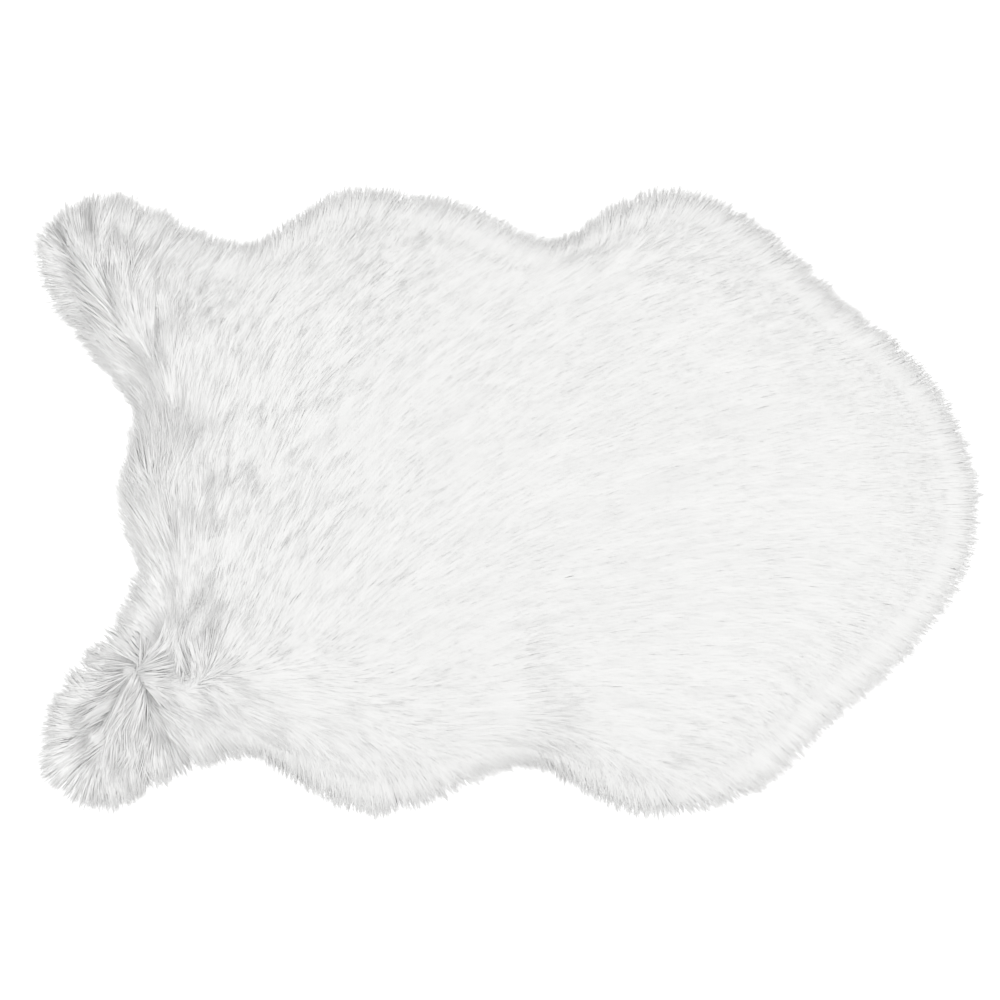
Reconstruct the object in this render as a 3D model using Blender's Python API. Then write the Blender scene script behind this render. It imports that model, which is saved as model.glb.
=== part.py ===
"""Faux sheepskin shag rug, lying flat with its pile up.

One panel of pile fabric makes the whole rug, so there is one solid: it runs from the underside
of the ground cloth up to the lie of the pile, and out to where the longest tips reach.
Metres, +Z up. The origin is on the floor under the middle of the rug. +X runs from the end
with the two legs to the round end, and +Y is across the rug.
"""

import math

import bmesh
import bpy
from mathutils import Vector
from mathutils.geometry import delaunay_2d_cdt, intersect_point_line
from mathutils.kdtree import KDTree

# Driving sizes
LENGTH = 0.900  # from leg tips to round end, over the pile
WIDTH = 0.600  # over the pile, at the broadest bulge
PILE_LOFT = 0.032  # height of the evenly lying pile over the floor, well inside the rim
CLOTH_INSET = 0.022  # the tips reach this far past the edge of the ground cloth

# Mesh steps
STEPS_PER_KNOT = 4
TOP_SPACING = 0.015
UNDERSIDE_SPACING = 0.045
MEASURE_STEP = 0.004  # the reach is sampled this finely when a distance to it is measured

# The reach of the pile, anticlockwise from the middle of the round end.
# along is a share of half the length, across a share of half the width.
REACH = (
    # place, along, across
    ("round end", 1.00, 0.00),
    ("round end", 0.98, 0.17),
    ("round end", 0.93, 0.34),
    ("neck, left", 0.84, 0.49),
    ("neck, left", 0.71, 0.65),
    ("neck, left", 0.58, 0.83),
    ("first bulge, left", 0.47, 0.95),
    ("first bulge, left", 0.36, 1.00),
    ("first bulge, left", 0.24, 0.95),
    ("waist, left", 0.11, 0.84),
    ("waist, left", 0.02, 0.87),
    ("second bulge, left", -0.09, 0.95),
    ("second bulge, left", -0.22, 0.98),
    ("second bulge, left", -0.32, 1.00),
    ("second bulge, left", -0.42, 0.93),
    ("notch, left", -0.54, 0.82),
    ("leg, left", -0.64, 0.85),
    ("leg, left", -0.74, 0.93),
    ("leg, left", -0.84, 0.98),
    ("leg, left", -0.93, 0.94),
    ("leg, left", -1.00, 0.82),
    ("leg, left", -0.97, 0.67),
    ("leg, left", -0.90, 0.51),
    ("leg, left", -0.81, 0.36),
    ("hollow between the legs", -0.78, 0.22),
    ("flap between the legs", -0.82, 0.07),
    ("flap between the legs", -0.80, -0.07),
    ("hollow between the legs", -0.78, -0.22),
    ("leg, right", -0.82, -0.37),
    ("leg, right", -0.91, -0.52),
    ("leg, right", -0.97, -0.68),
    ("leg, right", -0.98, -0.84),
    ("leg, right", -0.92, -0.95),
    ("leg, right", -0.83, -0.98),
    ("leg, right", -0.72, -0.89),
    ("notch, right", -0.56, -0.81),
    ("second bulge, right", -0.43, -0.90),
    ("second bulge, right", -0.30, -0.99),
    ("second bulge, right", -0.17, -0.96),
    ("waist, right", 0.02, -0.85),
    ("waist, right", 0.13, -0.89),
    ("first bulge, right", 0.28, -1.00),
    ("first bulge, right", 0.43, -0.98),
    ("first bulge, right", 0.57, -0.88),
    ("neck, right", 0.70, -0.69),
    ("neck, right", 0.83, -0.52),
    ("round end", 0.93, -0.34),
    ("round end", 0.99, -0.16),
)

# Section through the rim, from the edge of the ground cloth round the drooping tips to the top.
# inset is measured in from the reach, and height is a share of the pile's loft.
RIM = (
    # place, inset, height
    ("edge of the ground cloth", CLOTH_INSET, 0.00),
    ("underside of the tips", 0.005, 0.07),
    ("longest tips", 0.000, 0.22),
    ("shoulder of the rim", 0.003, 0.42),
    ("shoulder of the rim", 0.010, 0.62),
    ("edge of the top", 0.022, 0.80),
)
CROWN_REACH = 0.075  # the top is level from this far inside the reach

# Where the pile parts, sinks or stands up in locks, in metres.
# Each runs from one point to the other, with its half-width and its rise, which is negative in a trough.
RELIEF = (
    # place, from, to, half_width, rise
    ("parting down the left leg", (-0.415, 0.235), (-0.350, 0.100), 0.020, -0.006),
    ("locks beside that parting", (-0.385, 0.250), (-0.320, 0.110), 0.018, 0.003),
    ("fold behind the flap", (-0.343, 0.060), (-0.336, -0.050), 0.016, -0.007),
    ("locks inside that fold", (-0.315, 0.040), (-0.305, -0.060), 0.018, 0.002),
    ("whorl at the right leg", (-0.345, -0.140), (-0.325, -0.200), 0.024, -0.008),
    ("locks beside the whorl", (-0.300, -0.115), (-0.275, -0.175), 0.018, 0.003),
    ("parting down the right leg", (-0.400, -0.215), (-0.395, -0.255), 0.018, -0.005),
    ("crease by the whorl", (-0.262, -0.095), (-0.292, -0.130), 0.018, -0.004),
    ("dip behind the legs", (-0.250, 0.010), (-0.268, -0.020), 0.022, -0.004),
    ("hollow across the left waist", (0.000, 0.215), (-0.030, 0.120), 0.035, -0.003),
    ("hollow across the right waist", (0.050, -0.225), (0.020, -0.130), 0.035, -0.003),
)


def clear_scene():
    for obj in list(bpy.data.objects):
        bpy.data.objects.remove(obj)


def pile_material():
    """White modacrylic fibre: near white, soft and without shine."""
    material = bpy.data.materials.new("white_pile")
    material.use_nodes = True
    shader = material.node_tree.nodes["Principled BSDF"]
    shader.inputs["Base Color"].default_value = (0.83, 0.83, 0.83, 1.0)
    shader.inputs["Roughness"].default_value = 0.85
    shader.inputs["Metallic"].default_value = 0.0
    return material


def smooth_loop(knots, steps):
    """Points on a closed Catmull-Rom curve through the knots, with that many from one to the next."""
    loop = []
    for i, b in enumerate(knots):
        a, c, d = knots[i - 1], knots[(i + 1) % len(knots)], knots[(i + 2) % len(knots)]
        for step in range(steps):
            t = step / steps
            loop.append(
                0.5
                * (
                    2 * b
                    + (c - a) * t
                    + (2 * a - 5 * b + 4 * c - d) * t**2
                    + (3 * b - a - 3 * c + d) * t**3
                )
            )
    return loop


def resampled(loop, step):
    """Points at even spacing, about step apart, along a closed loop."""
    lengths = [(loop[i] - loop[i - 1]).length for i in range(len(loop))]
    count = round(sum(lengths) / step)
    spacing = sum(lengths) / count
    points, walked, wanted = [], 0.0, 0.0
    for i, length in enumerate(lengths):
        while len(points) < count and wanted <= walked + length:
            points.append(loop[i - 1].lerp(loop[i], (wanted - walked) / length))
            wanted += spacing
        walked += length
    return points


def reach_loop(steps):
    """The reach of the pile, fitted exactly to the rug's length and width about the origin."""
    knots = [Vector((along, across)) for _, along, across in REACH]
    loop = smooth_loop(knots, steps)
    low = Vector((min(p.x for p in loop), min(p.y for p in loop)))
    high = Vector((max(p.x for p in loop), max(p.y for p in loop)))
    middle, size = (low + high) / 2, high - low
    return [
        Vector(((p.x - middle.x) / size.x * LENGTH, (p.y - middle.y) / size.y * WIDTH))
        for p in loop
    ]


def inset_loop(loop, inset):
    """The loop moved in square to itself. The loop runs anticlockwise, so inwards is to the left."""
    moved = []
    for i, point in enumerate(loop):
        along = (loop[(i + 1) % len(loop)] - loop[i - 1]).normalized()
        moved.append(point + Vector((-along.y, along.x)) * inset)
    return moved


def tree_of(points):
    tree = KDTree(len(points))
    for i, point in enumerate(points):
        tree.insert((point.x, point.y, 0.0), i)
    tree.balance()
    return tree


def inside(point, loop):
    """Whether a point is inside a closed loop, by counting the edges to its right."""
    found = False
    for i, b in enumerate(loop):
        a = loop[i - 1]
        if (a.y > point.y) != (b.y > point.y):
            found ^= point.x < a.x + (b.x - a.x) * (point.y - a.y) / (b.y - a.y)
    return found


def dome(t):
    """From 0 at the edge of the top to 1 at the crown, rounding off as it gets there."""
    t = min(max(t, 0.0), 1.0)
    return 1 - (1 - t) ** 2


def top_height(point, reach_tree):
    """Height of the lie of the pile: it rises from the rim to the crown, with the relief on top."""
    depth_inside = reach_tree.find((point.x, point.y, 0.0))[2]
    _, rim_inset, rim_height = RIM[-1]
    rise = dome((depth_inside - rim_inset) / (CROWN_REACH - rim_inset))
    height = PILE_LOFT * (rim_height + (1 - rim_height) * rise)
    for _, start, end, half_width, relief in RELIEF:
        start, end = Vector(start), Vector(end)
        share = intersect_point_line(point, start, end)[1]
        away = (point - start.lerp(end, min(max(share, 0.0), 1.0))).length
        height += relief * math.exp(-((away / half_width) ** 2)) * rise
    return height


def grid_inside(loop, spacing):
    """Points of a triangular grid inside a loop, no nearer to it than half the spacing."""
    tree = tree_of(loop)
    row_height = spacing * math.sqrt(3) / 2
    rows, columns = int(WIDTH / 2 / row_height), int(LENGTH / 2 / spacing)
    points = []
    for row in range(-rows, rows + 1):
        for column in range(-columns, columns + 1):
            point = Vector(((column + 0.5 * (row % 2)) * spacing, row * row_height))
            clear = tree.find((point.x, point.y, 0.0))[2] > spacing / 2
            if clear and inside(point, loop):
                points.append(point)
    return points


def fill(bm, ring, spacing, height_of, facing_up):
    """Closes a ring of vertices with a triangulated face whose inner points lie at height_of."""
    loop = [vert.co.xy for vert in ring]
    inner = grid_inside(loop, spacing)
    border = list(range(len(loop)))
    _, _, triangles, origins, _, _ = delaunay_2d_cdt(loop + inner, [], [border], 1, 1e-7)
    inner_verts = [bm.verts.new((p.x, p.y, height_of(p))) for p in inner]
    verts = ring + inner_verts
    for triangle in triangles:
        corners = [verts[origins[i][0]] for i in triangle]
        bm.faces.new(corners if facing_up else corners[::-1])


def pile_fabric():
    """The rug's one solid: rings round the rim, the level underside and the uneven top."""
    reach = reach_loop(STEPS_PER_KNOT)
    reach_tree = tree_of(resampled(reach, MEASURE_STEP))
    bm = bmesh.new()
    rings = []
    for _, inset, height in RIM:
        points = inset_loop(reach, inset)
        rings.append([bm.verts.new((p.x, p.y, height * PILE_LOFT)) for p in points])
    for lower, upper in zip(rings, rings[1:]):
        for i in range(len(lower)):
            bm.faces.new((lower[i - 1], lower[i], upper[i], upper[i - 1]))
    fill(bm, rings[0], UNDERSIDE_SPACING, lambda point: 0.0, facing_up=False)
    fill(bm, rings[-1], TOP_SPACING, lambda point: top_height(point, reach_tree), facing_up=True)

    mesh = bpy.data.meshes.new("pile_fabric")
    bm.to_mesh(mesh)
    bm.free()
    mesh.materials.append(pile_material())
    mesh.shade_smooth()
    rug = bpy.data.objects.new("pile_fabric", mesh)
    bpy.context.scene.collection.objects.link(rug)


clear_scene()
pile_fabric()
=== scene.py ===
"""Shag rug: a faux sheepskin lying flat, with its ground cloth, its pile in combed locks and a plain studio.

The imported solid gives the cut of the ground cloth, the height of the lying pile at every place and
the floor. Everything is in metres, with +Z up and +X from the end with the legs to the round end.
"""

import math
from types import SimpleNamespace

import bmesh
import bpy
import numpy as np
from bpy.props import FloatProperty, FloatVectorProperty, IntProperty, PointerProperty
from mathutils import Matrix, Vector
from mathutils.bvhtree import BVHTree
from mathutils.kdtree import KDTree


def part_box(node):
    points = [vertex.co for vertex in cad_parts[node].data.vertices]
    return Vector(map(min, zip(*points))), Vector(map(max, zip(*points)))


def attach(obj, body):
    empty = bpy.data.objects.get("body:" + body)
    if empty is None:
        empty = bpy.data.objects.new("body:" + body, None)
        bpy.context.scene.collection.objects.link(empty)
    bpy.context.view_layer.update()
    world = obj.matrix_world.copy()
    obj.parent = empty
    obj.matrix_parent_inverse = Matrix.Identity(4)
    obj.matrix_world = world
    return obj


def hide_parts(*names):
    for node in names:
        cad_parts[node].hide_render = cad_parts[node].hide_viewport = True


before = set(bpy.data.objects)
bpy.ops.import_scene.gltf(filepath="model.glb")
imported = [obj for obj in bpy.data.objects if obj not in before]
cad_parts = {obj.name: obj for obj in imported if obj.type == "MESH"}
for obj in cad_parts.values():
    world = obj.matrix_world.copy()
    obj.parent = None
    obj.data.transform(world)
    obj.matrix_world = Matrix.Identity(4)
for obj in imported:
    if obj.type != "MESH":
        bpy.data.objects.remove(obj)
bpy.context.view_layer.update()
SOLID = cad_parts["pile_fabric"]
BOX_LOW, BOX_HIGH = (np.array(corner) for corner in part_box("pile_fabric"))

bl_info = {
    "name": "Shag Rug",
    "version": (1, 0, 0),
    "blender": (4, 5, 0),
    "location": "3D View > Sidebar > Rug",
    "description": "Makes a faux sheepskin shag rug and a plain studio round it",
    "category": "Object",
}

SEED = 7
MM = 0.001

# The lie of the pile: which way the fibres point from root to tip, in degrees anticlockwise from +X.
# Between these places the lie turns smoothly from one to the next.
LIE = (
    # place, x, y, heading
    ("beside the flap", -0.325, 0.065, 80),
    ("beside the flap", -0.310, 0.000, 84),
    ("beside the flap", -0.315, -0.060, 80),
    ("behind the legs", -0.265, 0.050, 68),
    ("behind the legs", -0.265, -0.035, 68),
    ("behind the legs", -0.215, 0.000, 60),
    ("behind the legs", -0.235, -0.110, 68),
    ("behind the legs", -0.190, -0.110, 50),
    ("second bulge, left", -0.215, 0.190, 47),
    ("second bulge, left", -0.150, 0.240, 50),
    ("second bulge, left", -0.100, 0.190, 40),
    ("middle", -0.150, 0.095, 46),
    ("middle", -0.150, -0.050, 48),
    ("middle", -0.055, 0.075, 35),
    ("middle", -0.055, -0.020, 33),
    ("middle", -0.100, -0.135, 30),
    ("middle", -0.025, -0.130, 20),
    ("waist, left", -0.005, 0.190, 33),
    ("waist, right", -0.055, -0.205, 5),
    ("waist, right", 0.040, -0.190, 3),
    ("first bulge, left", 0.090, 0.240, 30),
    ("first bulge, left", 0.185, 0.190, 20),
    ("front", 0.090, 0.115, 25),
    ("front", 0.090, 0.000, 20),
    ("front", 0.090, -0.095, 10),
    ("front", 0.185, -0.020, 10),
    ("front", 0.185, -0.140, 3),
    ("front", 0.230, 0.095, 15),
    ("neck, left", 0.280, 0.210, 18),
    ("neck, left", 0.355, 0.115, 9),
    ("round end", 0.280, 0.000, 5),
    ("round end", 0.390, 0.020, 2),
    ("round end", 0.325, -0.075, -6),
    ("round end", 0.400, -0.055, -10),
    ("neck, right", 0.355, -0.130, -24),
    ("neck, right", 0.295, -0.170, -28),
    ("neck, right", 0.260, -0.225, -42),
    ("first bulge, right", 0.135, -0.215, -5),
    ("first bulge, right", 0.100, -0.280, -70),
    ("second bulge, right", -0.195, -0.190, -10),
    ("second bulge, right", -0.180, -0.230, -45),
    ("second bulge, right", -0.120, -0.270, -72),
    ("second bulge, right", -0.075, -0.265, -50),
    ("left leg, ridge", -0.362, 0.130, 120),
    ("left leg, ridge", -0.382, 0.190, 104),
    ("left leg, ridge", -0.401, 0.238, 103),
    ("left leg, ridge", -0.408, 0.271, 97),
    ("left leg, inner side", -0.378, 0.215, 88),
    ("left leg, inner side", -0.358, 0.160, 84),
    ("left leg, inner side", -0.345, 0.122, 80),
    ("left leg", -0.358, 0.257, 76),
    ("left leg", -0.340, 0.238, 64),
    ("left leg", -0.310, 0.215, 52),
    ("left leg", -0.280, 0.225, 50),
    ("left leg", -0.300, 0.145, 62),
    ("left leg, outer side", -0.428, 0.252, 148),
    ("left leg, outer side", -0.430, 0.215, 178),
    ("left leg, outer side", -0.413, 0.180, 182),
    ("left leg, outer side", -0.396, 0.152, 176),
    ("flap", -0.358, 0.015, 108),
    ("flap", -0.338, 0.010, 105),
    ("flap", -0.342, -0.035, 112),
    ("right leg, over the whorl", -0.345, -0.110, 165),
    ("right leg, over the whorl", -0.362, -0.140, 172),
    ("right leg, outer side", -0.400, -0.160, 165),
    ("right leg, outer side", -0.392, -0.185, 190),
    ("right leg, outer side", -0.430, -0.225, 185),
    ("right leg, outer side", -0.420, -0.265, 220),
    ("right leg, lock across", -0.360, -0.182, 228),
    ("right leg, lock across", -0.384, -0.212, 222),
    ("right leg, tip", -0.390, -0.285, 262),
    ("right leg, tip", -0.350, -0.270, 278),
    ("right leg, middle", -0.343, -0.205, 262),
    ("right leg, middle", -0.335, -0.235, 275),
    ("right leg, inner side", -0.305, -0.215, 298),
    ("right leg, inner side", -0.300, -0.245, 290),
    ("right leg, inner side", -0.255, -0.225, 310),
    ("right leg, curls", -0.328, -0.160, 20),
    ("right leg, curls", -0.316, -0.180, 335),
    ("right leg, curls", -0.300, -0.160, 110),
    ("right leg, beside the whorl", -0.308, -0.132, 98),
    ("right leg, beside the whorl", -0.280, -0.130, 62),
    ("right leg, inner side", -0.278, -0.182, 335),
)

# Creases, where the pile lies lower, and a few ridges, where it stands proud.
# Each falls off with distance from its line, within about its width. Some lie on one side only,
# looking from the line's first end to its second, and end sharply under the locks on the other.
CREASES = (
    # place, from, to, width, drop, side
    ("left leg, under the ridge", (-0.422, 0.286), (-0.413, 0.228), 0.022, 0.0100, "right"),
    ("left leg, under the ridge", (-0.413, 0.228), (-0.384, 0.143), 0.024, 0.0070, "right"),
    ("left leg, ridge", (-0.404, 0.262), (-0.366, 0.135), 0.010, -0.0020, "both"),
    ("left leg, beside the ridge", (-0.378, 0.232), (-0.375, 0.185), 0.005, 0.0040, "both"),
    ("left leg, at its top", (-0.396, 0.286), (-0.393, 0.262), 0.007, 0.0060, "both"),
    ("left leg, at its top", (-0.365, 0.268), (-0.374, 0.245), 0.005, 0.0035, "both"),
    ("left leg, in its middle", (-0.325, 0.180), (-0.333, 0.150), 0.006, 0.0035, "both"),
    ("left leg, neck", (-0.349, 0.118), (-0.344, 0.050), 0.005, 0.0050, "both"),
    ("flap, under the lock", (-0.346, 0.046), (-0.349, -0.035), 0.024, 0.0070, "right"),
    ("flap, lock", (-0.335, 0.040), (-0.326, -0.045), 0.012, -0.0020, "both"),
    ("flap, beside the lock", (-0.315, 0.010), (-0.315, -0.022), 0.004, 0.0040, "both"),
    ("behind the legs", (-0.263, -0.090), (-0.274, -0.116), 0.007, 0.0020, "both"),
    ("behind the legs", (-0.275, -0.060), (-0.290, -0.085), 0.008, 0.0008, "both"),
    ("right leg, over the whorl", (-0.333, -0.098), (-0.330, -0.110), 0.007, 0.0050, "both"),
    ("right leg, whorl", (-0.356, -0.143), (-0.338, -0.154), 0.007, 0.0060, "both"),
    ("right leg, whorl", (-0.340, -0.154), (-0.333, -0.198), 0.006, 0.0050, "both"),
    ("right leg, whorl", (-0.333, -0.198), (-0.305, -0.199), 0.005, 0.0035, "both"),
    ("right leg, outer side", (-0.378, -0.156), (-0.368, -0.166), 0.010, 0.0060, "both"),
    ("right leg, under the lock across", (-0.366, -0.184), (-0.384, -0.212), 0.006, 0.0060, "both"),
    ("right leg, parting", (-0.412, -0.198), (-0.403, -0.252), 0.010, 0.0050, "both"),
    ("right leg, lock", (-0.310, -0.118), (-0.308, -0.158), 0.009, -0.0025, "both"),
    ("right leg, beside the lock", (-0.303, -0.132), (-0.303, -0.160), 0.004, 0.0045, "both"),
    ("right leg, inner side", (-0.323, -0.208), (-0.313, -0.240), 0.005, 0.0030, "both"),
)

# How the pile is groomed, from smoothly combed to tousled.
# tousle scales how far locks stray from the lie, clump how far a lock's fibres close to a point,
# and fan how far the fibres turn outwards at the rim.
GROOMING = (
    # place, x, y, tousle, clump, fan
    ("left leg", -0.38, 0.22, 0.80, 0.55, 1.0),
    ("right leg", -0.36, -0.20, 1.00, 0.60, 1.0),
    ("neck", -0.35, 0.085, 0.60, 0.40, 0.6),
    ("flap", -0.33, 0.00, 0.70, 0.55, 0.3),
    ("back", -0.22, 0.08, 0.27, 0.28, 1.0),
    ("back", -0.24, -0.06, 0.35, 0.32, 1.0),
    ("back", -0.19, -0.10, 0.08, 0.08, 1.0),
    ("second bulge, left", -0.15, 0.26, 0.45, 0.40, 1.0),
    ("second bulge, right", -0.15, -0.26, 0.35, 0.30, 1.0),
    ("middle", -0.12, 0.05, 0.06, 0.06, 1.0),
    ("middle", -0.10, -0.12, 0.03, 0.02, 1.0),
    ("middle", 0.00, 0.10, 0.03, 0.02, 1.0),
    ("middle", 0.00, 0.00, 0.00, 0.00, 1.0),
    ("middle", 0.00, -0.12, 0.00, 0.00, 1.0),
    ("waist, left", 0.00, 0.20, 0.10, 0.10, 1.0),
    ("front", 0.15, 0.10, 0.00, 0.00, 1.0),
    ("front", 0.15, 0.00, 0.00, 0.00, 1.0),
    ("front", 0.15, -0.15, 0.00, 0.00, 1.0),
    ("first bulge, left", 0.18, 0.26, 0.35, 0.35, 1.0),
    ("first bulge, right", 0.15, -0.27, 0.30, 0.30, 1.0),
    ("round end", 0.32, 0.00, 0.00, 0.00, 1.0),
    ("round end", 0.42, 0.00, 0.12, 0.20, 1.0),
)


def linear(hex_colour):
    """An sRGB hex colour such as "F2F2F0" as linear red, green, blue and alpha."""
    parts = [int(hex_colour[i : i + 2], 16) / 255 for i in (0, 2, 4)]
    return [
        c / 12.92 if c <= 0.04045 else ((c + 0.055) / 1.055) ** 2.4 for c in parts
    ] + [1.0]


def length_setting(name, description, default):
    """A length that a user can change."""
    return FloatProperty(name=name, description=description, default=default, unit="LENGTH")


def colour_setting(name, description, hex_colour):
    """A colour that a user can change."""
    return FloatVectorProperty(
        name=name,
        description=description,
        default=linear(hex_colour),
        size=4,
        min=0.0,
        max=1.0,
        subtype="COLOR",
    )


class RugPile(bpy.types.PropertyGroup):
    """Sizes and colours of the pile."""

    run: length_setting("Run", "How far a fibre's tip lies from above its root", 46 * MM)
    lock_spacing: length_setting(
        "Lock spacing", "From the middle of one lock of fibres to the next", 15 * MM
    )
    tuft_spacing: length_setting(
        "Tuft spacing",
        "From the middle of one of the small tufts that make a lock to the next",
        2.4 * MM,
    )
    strand_width: length_setting(
        "Strand width", "Widest part of one strand, which stands for a dozen fibres", 0.95 * MM
    )
    strands: IntProperty(
        name="Strands",
        description="How many strands the whole pile has",
        default=158000,
    )
    # the root colour is a little darker than the tip colour: painted shade deep in the pile
    root_colour_with_painted_shade: colour_setting("Root colour", "Colour of the fibres at their roots", "F9F9F8")
    tip_colour: colour_setting("Tip colour", "Colour of the fibres at their tips", "FEFEFD")
    # the underfur is a little greyer than the pile, over its random streaks: painted shade between the locks
    underfur_dark_painted_shade: colour_setting(
        "Underfur, dark", "Colour of the darkest streaks of the underfur", "F0F0EF"
    )
    underfur_light: colour_setting(
        "Underfur, light", "Colour of the lightest streaks of the underfur", "FDFDFC"
    )


class RugCloth(bpy.types.PropertyGroup):
    """Size and colour of the ground cloth."""

    thickness: length_setting("Thickness", "Thickness of the knitted ground cloth", 2 * MM)
    colour: colour_setting("Colour", "Colour of the knitted yarn", "E6E4DF")


class RugStudio(bpy.types.PropertyGroup):
    """The camera of the plain studio round the rug."""

    lens: FloatProperty(
        name="Lens",
        description="Focal length of the camera, in millimetres",
        default=85.0,
        unit="CAMERA",
    )
    field: length_setting("Field", "Width of floor that the camera sees", 0.950)


def add_node(tree, kind, inputs, **settings):
    """Adds a node, with its settings, and each input's value or the socket it is linked from."""
    node = tree.nodes.new(kind)
    for name, value in settings.items():
        setattr(node, name, value)
    for name, value in inputs.items():
        if isinstance(value, bpy.types.NodeSocket):
            tree.links.new(value, node.inputs[name])
        else:
            node.inputs[name].default_value = value
    return node


def new_material(name):
    """A new material, its node tree and its shader."""
    material = bpy.data.materials.new(name)
    material.use_nodes = True
    return material, material.node_tree, material.node_tree.nodes["Principled BSDF"]


def add_piece(scene, mesh, material):
    """Puts a mesh into the scene as a piece of the pile fabric, riding on the root."""
    mesh.materials.append(material)
    piece = bpy.data.objects.new(mesh.name, mesh)
    scene.collection.objects.link(piece)
    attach(piece, "root")
    return piece


# ---------------------------------------------------------------- rows of directions


def unit(rows):
    """Each row drawn out or in to a length of 1."""
    return rows / np.maximum(np.linalg.norm(rows, axis=1, keepdims=True), 1e-9)


def dot(a, b):
    """The dot product of each row of a with the same row of b."""
    return (a * b).sum(axis=1)


def left_of(way):
    """Directions a quarter turn anticlockwise from those given."""
    return np.stack([-way[..., 1], way[..., 0]], axis=-1)


def turned(way, angle):
    """Directions turned anticlockwise by angles in radians."""
    return way * np.cos(angle)[:, None] + left_of(way) * np.sin(angle)[:, None]


def smooth(t):
    """0 up to where t is 0 and 1 from where it is 1, with an even S-shaped rise between."""
    t = np.clip(t, 0, 1)
    return t * t * (3 - 2 * t)


def nearest(places, points):
    """For each point, the number of the nearest place."""
    tree = KDTree(len(places))
    for i, (x, y) in enumerate(places):
        tree.insert((x, y, 0), i)
    tree.balance()
    return np.array([tree.find((x, y, 0))[1] for x, y in points])


# ---------------------------------------------------------------- the cut of the cloth

ONE_CORNER = 0.01 * MM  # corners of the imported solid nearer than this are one
FLAT = 0.1 * MM  # its underside has no corner higher than this
OUT_BLEND = 5 * MM  # the way out of the cut is blended over about this length of it


def merged_solid():
    """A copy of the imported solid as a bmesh, with its loose triangles joined."""
    bm = bmesh.new()
    bm.from_mesh(SOLID.data)
    bmesh.ops.remove_doubles(bm, verts=bm.verts, dist=ONE_CORNER)
    return bm


def underside():
    """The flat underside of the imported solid, as a bmesh: the cut of the ground cloth."""
    bm = merged_solid()
    above = [face for face in bm.faces if max(v.co.z for v in face.verts) > FLAT]
    bmesh.ops.delete(bm, geom=above, context="FACES")
    return bm


def signed_area(line):
    """The area inside a closed line, negative where the line runs clockwise."""
    ahead = np.roll(line, -1, axis=0)
    return 0.5 * (line[:, 0] * ahead[:, 1] - line[:, 1] * ahead[:, 0]).sum()


def walk_round(line, step):
    """Points a step apart round a closed line, how far along it each one is, and its whole length."""
    closed = np.vstack([line, line[:1]])
    walked = np.concatenate([[0], np.cumsum(np.linalg.norm(np.diff(closed, axis=0), axis=1))])
    along = np.arange(0, walked[-1], step)
    points = np.stack([np.interp(along, walked, closed[:, k]) for k in (0, 1)], axis=1)
    return points, along, walked[-1]


def cut_line(step=4 * MM):
    """Points a step apart along the cut of the cloth, anticlockwise as seen from above."""
    bm = underside()
    beside = {}
    for edge in bm.edges:
        if edge.is_boundary:
            for a, b in (edge.verts, reversed(edge.verts)):
                beside.setdefault(a.index, []).append(b)
    start = next(v for v in bm.verts if v.index in beside)
    corners, last, here = [start.co.xy], start, beside[start.index][0]
    while here is not start:
        corners.append(here.co.xy)
        ways = beside[here.index]
        last, here = here, ways[0] if ways[0] is not last else ways[1]
    line = np.array(corners)
    bm.free()
    if signed_area(line) < 0:
        line = line[::-1]
    return walk_round(line, step)[0]


def inside(points, line):
    """Which points are inside a closed line, by counting the edges to their right."""
    found = np.zeros(len(points), bool)
    for (ax, ay), (bx, by) in zip(line, np.roll(line, -1, axis=0)):
        if ay != by:
            crosses = (ay > points[:, 1]) != (by > points[:, 1])
            at = ax + (bx - ax) * (points[:, 1] - ay) / (by - ay)
            found ^= crosses & (points[:, 0] < at)
    return found


def depth_inside(points, line):
    """How far inside a closed line each point is, negative outside it, and the way out of the line."""
    out = -left_of(unit(np.roll(line, -1, axis=0) - np.roll(line, 1, axis=0)))
    away = np.linalg.norm(points[:, None] - line[None], axis=2)
    distance = away.min(axis=1)
    weight = np.exp(-(away - distance[:, None]) / OUT_BLEND)
    return np.where(inside(points, line), distance, -distance), unit(weight @ out)


# ---------------------------------------------------------------- fields over the rug

GRID_STEP = 4 * MM  # how fine a field's grid is
GRID_MARGIN = 8 * GRID_STEP  # and how far past the rug it reaches
GRID_LOW, GRID_HIGH = BOX_LOW[:2] - GRID_MARGIN, BOX_HIGH[:2] + GRID_MARGIN


def as_it_is(share):
    """The share itself, for fields that run straight from one grid point to the next."""
    return share


class Field:
    """Values for every place on the rug, kept on a grid and blended between its points."""

    def __init__(self, values, step=GRID_STEP, ease=as_it_is):
        self.values = values
        self.step = step
        self.ease = ease

    def at(self, points):
        """The values at points, which are rows of x and y. Past the grid its border's values hold."""
        last = np.array(self.values.shape[:2]) - 1.001  # just short of the last point
        place = np.clip((points - GRID_LOW) / self.step, 0, last)
        i, j = place.astype(int).T
        fx, fy = self.ease(place % 1).T[..., None]
        v = self.values
        near = v[i, j] * (1 - fx) + v[i + 1, j] * fx
        far = v[i, j + 1] * (1 - fx) + v[i + 1, j + 1] * fx
        return near * (1 - fy) + far * fy


def field_of(function):
    """The field of the values that a function gives for rows of x and y."""
    columns, rows = (int(n) + 2 for n in (GRID_HIGH - GRID_LOW) / GRID_STEP)
    x = GRID_LOW[0] + GRID_STEP * np.arange(columns)
    y = GRID_LOW[1] + GRID_STEP * np.arange(rows)
    return Field(np.array([function(np.stack([np.full(rows, at), y], 1)) for at in x]))


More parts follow.
